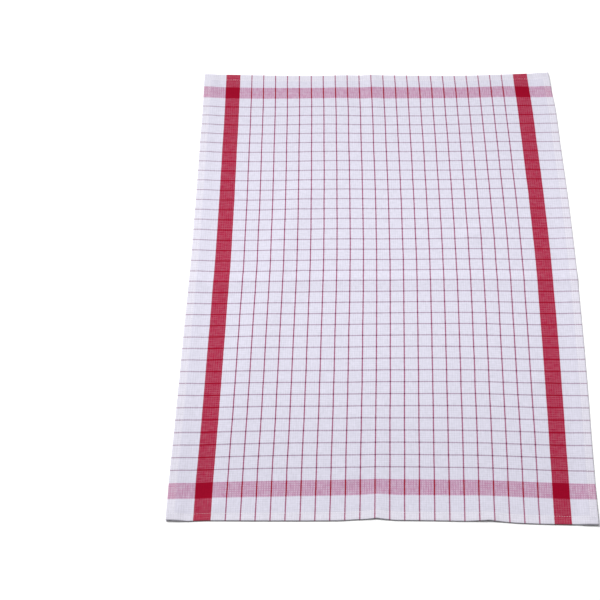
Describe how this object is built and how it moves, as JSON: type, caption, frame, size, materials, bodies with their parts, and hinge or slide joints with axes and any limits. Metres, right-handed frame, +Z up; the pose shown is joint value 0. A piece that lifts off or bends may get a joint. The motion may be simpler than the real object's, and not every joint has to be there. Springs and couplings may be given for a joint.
{
  "type": "tea towel",
  "caption": "Rectangular woven cotton tea towel with double-turned, stitched hems, a fine red check and wider red borders, laid out flat on a surface.",
  "frame": {"origin": "centre of the towel's box, on the face that it rests on", "axes": "+Y along the towel's length towards its far end, +X across it, +Z up from the face that it rests on"},
  "size_m": [0.509, 0.701, 0.0032],
  "materials": {
    "towel_cloth": "matt plain-woven cotton, white with crimson stripes and check"
  },
  "bodies": {
    "root": {"tea_towel": "towel_cloth"}
  },
  "joints": []
}
